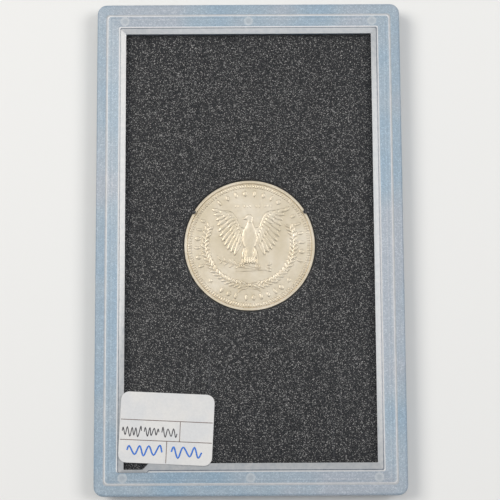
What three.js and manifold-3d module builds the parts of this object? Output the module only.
// A hard plastic holder for one large silver coin, lying flat with its rear face up.
//
// Two clear shells press together on six pegs. They shut in a black insert, split into a front and a
// rear plate, whose round aperture holds the coin by its edge between four small tabs. A paper stock
// label sticks to the rear window.
//
// Millimetres. +X runs across the holder, +Y along it and +Z from the front window to the rear one.
// The origin is the centre of the front window's outer face, which is the face the holder rests on.

import * as THREE from 'three';
import { mergeVertices } from 'three/addons/utils/BufferGeometryUtils.js';
import Module from 'manifold-3d';

// ---- Driving dimensions ----

const slabWidth = 89;
const slabLength = 142.9;
const slabCornerRadius = 2.8;

// The frame around each window, from the outside in: a rounded rim, a flat border and a stepped bevel.
const rimWidth = { side: 3.0, end: 3.4 };
const borderWidth = { side: 3.4, end: 3.4 };
const bevelWidth = { side: 2.25, end: 2.55 };
const rimEdgeRadius = 0.7;
const rimStep = 0.35; // the rim lies this far below the border
const borderRecess = 0.95; // the border lies this far below the window's face
const innerCornerRadius = 1.0;
const windowThickness = 1.9;

// The bevel has a narrow riser, a ledge and then the wide slope up to the window.
const riserWidth = 0.3;
const riserHeight = 0.32;
const ledgeWidth = 0.4;
const ledgeRise = 0.04;

// The insert's key, a small lug at one corner that lets it into the shells one way round.
const keyLength = 7.05;
const keyDepth = 1.7;
const keyLipLeft = 0.05; // what is left of the key in the outline at the foot of the bevel

const coinDiameter = 38.1;
const coinThickness = 2.4;
const coinRimWidth = 0.95;
const coinFieldDepth = 0.22;
const coinEdgeChamfer = 0.12;

const tabThickness = 0.65;
const tabWidth = 1.1;
const tabReach = 0.75; // over the coin's rim
const tabRoot = 1.2; // how far a tab runs back into its plate
const rearTabAngles = [31, 149];
const frontTabAngles = [211, 329];
const apertureChamfer = 0.35;

const pegDiameter = 2.5;
const pegSideInset = 8.2; // corner pegs, from the holder's long edges
const pegEndInset = 5.2; // all pegs, from the holder's short edges
const socketFloor = 0.55; // wall left between a socket and the border's face

const labelWidth = 26.5;
const labelLength = 19.9;
const labelThickness = 0.15;
const labelCornerRadius = 2.3;
const labelTilt = -2.8; // degrees
const labelOverhang = { side: 1.15, end: 0.2 }; // past the window's edges

// ---- Clearances ----

const partingGap = 0.1;
const plateGap = 0.1; // between stacked plates and windows
const insertMargin = 0.2; // the insert runs this far under the bevel
const insertClearance = 0.2;
const coinClearance = 0.2; // round the coin's edge
const coinEndPlay = 0.15; // between the coin's rim and a tab
const pegClearance = 0.1;
const pegEndGap = 0.3;
const labelGap = 0.02;

// ---- What follows from them ----

const halfThickness = windowThickness + plateGap + tabThickness + coinEndPlay + coinThickness / 2;
const slabThickness = 2 * halfThickness;
const borderHeight = halfThickness - borderRecess; // heights here are from the parting plane
const rimHeight = borderHeight - rimStep;
const pocketDepth = halfThickness - windowThickness;
const plateThickness = pocketDepth - plateGap - partingGap / 2;

const windowHalfWidth = slabWidth / 2 - rimWidth.side - borderWidth.side - bevelWidth.side;
const windowHalfLength = slabLength / 2 - rimWidth.end - borderWidth.end - bevelWidth.end;

const coinRadius = coinDiameter / 2;
const apertureRadius = coinRadius + coinClearance;
const socketDepth = borderHeight - socketFloor;
const pegLength = socketDepth - pegEndGap;
const pegPlaces = [];
for (const y of [-slabLength / 2 + pegEndInset, slabLength / 2 - pegEndInset]) {
  for (const x of [-slabWidth / 2 + pegSideInset, 0, slabWidth / 2 - pegSideInset]) {
    pegPlaces.push({ x, y });
  }
}

const frontSide = -1;
const rearSide = 1;
const cornerSteps = 6;
const pegSteps = 24;
const coinSteps = 96;
const throughMargin = 1; // how far a cutter runs past the face that it cuts

const wasm = await Module();
wasm.setup();

// ---- Solids ----

function toSolid(geometry) {
  const bare = geometry.clone();
  bare.deleteAttribute('normal');
  bare.deleteAttribute('uv');
  const merged = mergeVertices(bare, 1e-4);
  return new wasm.Manifold(new wasm.Mesh({
    numProp: 3,
    vertProperties: Float32Array.from(merged.attributes.position.array),
    triVerts: Uint32Array.from(merged.index.array),
  }));
}

function toGeometry(solid) {
  const mesh = solid.getMesh();
  const geometry = new THREE.BufferGeometry();
  geometry.setAttribute('position', new THREE.BufferAttribute(mesh.vertProperties, 3));
  geometry.setIndex(new THREE.BufferAttribute(mesh.triVerts, 1));
  geometry.computeVertexNormals();
  return geometry;
}

// Z of a height measured from the parting plane towards the front or the rear face.
function levelOf(side, height) {
  return halfThickness + side * height;
}

// A closed solid through outlines with equal point counts, given in order up or down. Each outline
// runs anticlockwise round the Z axis and can be seen whole from it, so its ends close as fans.
function loft(sections) {
  const rising = sections[0].z < sections[sections.length - 1].z;
  const stack = rising ? sections : [...sections].reverse();
  const count = stack[0].outline.length;
  const positions = [];
  const faces = [];
  for (const { outline, z } of stack) {
    for (const point of outline) {
      positions.push(point.x, point.y, z);
    }
  }
  for (let level = 0; level < stack.length - 1; level += 1) {
    for (let i = 0; i < count; i += 1) {
      const low = level * count + i;
      const lowNext = level * count + ((i + 1) % count);
      faces.push(low, lowNext, lowNext + count);
      faces.push(low, lowNext + count, low + count);
    }
  }
  const topStart = (stack.length - 1) * count;
  const bottomCentre = positions.length / 3;
  const topCentre = bottomCentre + 1;
  positions.push(0, 0, stack[0].z);
  positions.push(0, 0, stack[stack.length - 1].z);
  for (let i = 0; i < count; i += 1) {
    const next = (i + 1) % count;
    faces.push(bottomCentre, next, i);
    faces.push(topCentre, topStart + i, topStart + next);
  }
  const geometry = new THREE.BufferGeometry();
  geometry.setAttribute('position', new THREE.Float32BufferAttribute(positions, 3));
  geometry.setIndex(faces);
  return toSolid(geometry);
}

// A straight prism of a shape between two heights on one side of the parting plane.
function prism(shape, side, near, far) {
  const geometry = new THREE.ExtrudeGeometry(shape, { depth: far - near, bevelEnabled: false });
  geometry.translate(0, 0, Math.min(levelOf(side, near), levelOf(side, far)));
  return toSolid(geometry);
}

// A disc or cone about a vertical axis, with its radius at each of two heights.
function roundBar(place, side, near, far, nearRadius, farRadius, steps) {
  const topRadius = side > 0 ? farRadius : nearRadius;
  const bottomRadius = side > 0 ? nearRadius : farRadius;
  const geometry = new THREE.CylinderGeometry(topRadius, bottomRadius, far - near, steps);
  geometry.rotateX(Math.PI / 2);
  geometry.translate(place.x, place.y, levelOf(side, (near + far) / 2));
  return toSolid(geometry);
}

function roundedOutline(halfWidth, halfLength, radius) {
  const points = [];
  for (let corner = 0; corner < 4; corner += 1) {
    const centreX = (corner === 0 || corner === 3 ? 1 : -1) * (halfWidth - radius);
    const centreY = (corner < 2 ? 1 : -1) * (halfLength - radius);
    for (let step = 0; step <= cornerSteps; step += 1) {
      const angle = ((corner + step / cornerSteps) * Math.PI) / 2;
      points.push(new THREE.Vector2(
        centreX + radius * Math.cos(angle),
        centreY + radius * Math.sin(angle),
      ));
    }
  }
  return points;
}

// The slab's outline, moved in by the given margins at its sides and ends.
function slabOutline(margin, radius) {
  return roundedOutline(slabWidth / 2 - margin.side, slabLength / 2 - margin.end, radius);
}

// The window's outline with the key at its lower left corner, grown outwards at its sides and ends.
function keyedOutline(growth, depth = keyDepth) {
  const x = windowHalfWidth + growth.side;
  const y = windowHalfLength + growth.end;
  const slantEnd = keyLength - windowHalfWidth + growth.side;
  return [
    new THREE.Vector2(-x, -y - depth),
    new THREE.Vector2(slantEnd - depth, -y - depth),
    new THREE.Vector2(slantEnd, -y),
    new THREE.Vector2(x, -y),
    new THREE.Vector2(x, y),
    new THREE.Vector2(-x, y),
  ];
}

function evenly(amount) {
  return { side: amount, end: amount };
}

// ---- Shells ----

// The frame, from the parting plane out: a straight wall, its rounded edge, the rim and the border.
function shellFrame(side) {
  const sections = [];
  const addSection = (margin, radius, height) => {
    sections.push({ outline: slabOutline(margin, radius), z: levelOf(side, height) });
  };
  addSection(evenly(0), slabCornerRadius, partingGap / 2);
  const edgeSteps = 4;
  for (let step = 0; step <= edgeSteps; step += 1) {
    const turn = ((step / edgeSteps) * Math.PI) / 2;
    const margin = rimEdgeRadius * (1 - Math.cos(turn));
    const height = rimHeight - rimEdgeRadius * (1 - Math.sin(turn));
    addSection(evenly(margin), slabCornerRadius - margin, height);
  }
  addSection(rimWidth, innerCornerRadius, rimHeight);
  const stepMargin = { side: rimWidth.side + rimStep / 2, end: rimWidth.end + rimStep / 2 };
  addSection(stepMargin, innerCornerRadius, borderHeight);
  return loft(sections);
}

// The raised window, whose bevel climbs from the border by a riser, a ledge and a slope.
function shellWindow(side) {
  const sections = [];
  const addSection = (inset, depth, height) => {
    const growth = { side: bevelWidth.side - inset, end: bevelWidth.end - inset };
    sections.push({ outline: keyedOutline(growth, depth), z: levelOf(side, height) });
  };
  addSection(0, keyLipLeft, borderHeight - rimStep / 2);
  addSection(0, keyLipLeft, borderHeight);
  addSection(riserWidth, riserWidth, borderHeight + riserHeight);
  addSection(riserWidth + ledgeWidth, riserWidth + ledgeWidth, borderHeight + riserHeight + ledgeRise);
  sections.push({ outline: keyedOutline(evenly(0)), z: levelOf(side, halfThickness) });
  return loft(sections);
}

function shellBody(side) {
  const pocketGrowth = evenly(insertMargin + insertClearance);
  const pocket = prism(new THREE.Shape(keyedOutline(pocketGrowth)), side, -throughMargin, pocketDepth);
  return shellFrame(side).add(shellWindow(side)).subtract(pocket);
}

// The front shell's pegs stand across the parting plane into the rear shell's sockets.
function frontShell() {
  let shell = shellBody(frontSide);
  for (const place of pegPlaces) {
    const radius = pegDiameter / 2;
    shell = shell.add(roundBar(place, rearSide, -throughMargin, pegLength, radius, radius, pegSteps));
  }
  return toGeometry(shell);
}

function rearShell() {
  let shell = shellBody(rearSide);
  for (const place of pegPlaces) {
    const radius = pegDiameter / 2 + pegClearance;
    shell = shell.subtract(
      roundBar(place, rearSide, -throughMargin, socketDepth, radius, radius, pegSteps),
    );
  }
  return toGeometry(shell);
}

// ---- Insert ----

// One tab: a short bar on the aperture's edge, flush with its plate's outer face.
function coinTab(side, angle) {
  const inner = coinRadius - tabReach;
  const shape = new THREE.Shape([
    new THREE.Vector2(inner, -tabWidth / 2),
    new THREE.Vector2(apertureRadius + tabRoot, -tabWidth / 2),
    new THREE.Vector2(apertureRadius + tabRoot, tabWidth / 2),
    new THREE.Vector2(inner, tabWidth / 2),
  ]);
  const outerFace = pocketDepth - plateGap;
  const tab = new THREE.ExtrudeGeometry(shape, { depth: tabThickness, bevelEnabled: false });
  tab.rotateZ(THREE.MathUtils.degToRad(angle));
  tab.translate(0, 0, Math.min(levelOf(side, outerFace), levelOf(side, outerFace - tabThickness)));
  return toSolid(tab);
}

function insertPlate(side, tabAngles) {
  const centre = { x: 0, y: 0 };
  const inner = partingGap / 2;
  const outer = inner + plateThickness;
  const outline = new THREE.Shape(keyedOutline(evenly(insertMargin)));
  const aperture = roundBar(
    centre, side, inner - throughMargin, outer + throughMargin,
    apertureRadius, apertureRadius, coinSteps,
  );
  const mouth = roundBar(
    centre, side, outer - apertureChamfer, outer + apertureChamfer,
    apertureRadius, apertureRadius + 2 * apertureChamfer, coinSteps,
  );
  let plate = prism(outline, side, inner, outer).subtract(aperture).subtract(mouth);
  for (const angle of tabAngles) {
    plate = plate.add(coinTab(side, angle));
  }
  return toGeometry(plate);
}

// ---- Coin ----

// The coin's section, from the middle of one face round the edge to the middle of the other.
function coinGeometry() {
  const rimHalf = coinThickness / 2;
  const fieldHalf = rimHalf - coinFieldDepth;
  const rimInner = coinRadius - coinRimWidth;
  const profile = [
    new THREE.Vector2(0, -fieldHalf),
    new THREE.Vector2(rimInner - coinFieldDepth, -fieldHalf),
    new THREE.Vector2(rimInner, -rimHalf),
    new THREE.Vector2(coinRadius - coinEdgeChamfer, -rimHalf),
    new THREE.Vector2(coinRadius, -rimHalf + coinEdgeChamfer),
    new THREE.Vector2(coinRadius, rimHalf - coinEdgeChamfer),
    new THREE.Vector2(coinRadius - coinEdgeChamfer, rimHalf),
    new THREE.Vector2(rimInner, rimHalf),
    new THREE.Vector2(rimInner - coinFieldDepth, fieldHalf),
    new THREE.Vector2(0, fieldHalf),
  ];
  const geometry = new THREE.LatheGeometry(profile, coinSteps);
  geometry.rotateX(Math.PI / 2);
  return geometry;
}

// ---- Label ----

function labelGeometry() {
  const outline = roundedOutline(labelWidth / 2, labelLength / 2, labelCornerRadius);
  return new THREE.ExtrudeGeometry(new THREE.Shape(outline), {
    depth: labelThickness,
    bevelEnabled: false,
  });
}

// ---- Materials ----

const clearPlastic = { color: 0xb4c2cc, roughness: 0.35, metalness: 0 };
const blackPlastic = { color: 0x2b2c2e, roughness: 0.8, metalness: 0 };
const silver = { color: 0xdcd2bc, roughness: 0.3, metalness: 1 };
const whitePaper = { color: 0xe4e2e0, roughness: 0.85, metalness: 0 };

function part(name, geometry, finish) {
  const mesh = new THREE.Mesh(geometry, new THREE.MeshStandardMaterial(finish));
  mesh.name = name;
  return mesh;
}

// ---- Assembly ----

const coin = part('coin', coinGeometry(), silver);
coin.position.z = halfThickness;

const label = part('stock_label', labelGeometry(), whitePaper);
label.position.set(
  -windowHalfWidth - labelOverhang.side + labelWidth / 2,
  -windowHalfLength - labelOverhang.end + labelLength / 2,
  slabThickness + labelGap,
);
label.rotation.z = THREE.MathUtils.degToRad(labelTilt);

const insert = new THREE.Group();
insert.add(
  part('insert_front_plate', insertPlate(frontSide, frontTabAngles), blackPlastic),
  part('insert_rear_plate', insertPlate(rearSide, rearTabAngles), blackPlastic),
  coin,
);

const group = new THREE.Group();
group.add(
  part('front_shell', frontShell(), clearPlastic),
  insert,
  part('rear_shell', rearShell(), clearPlastic),
  label,
);

export default group;
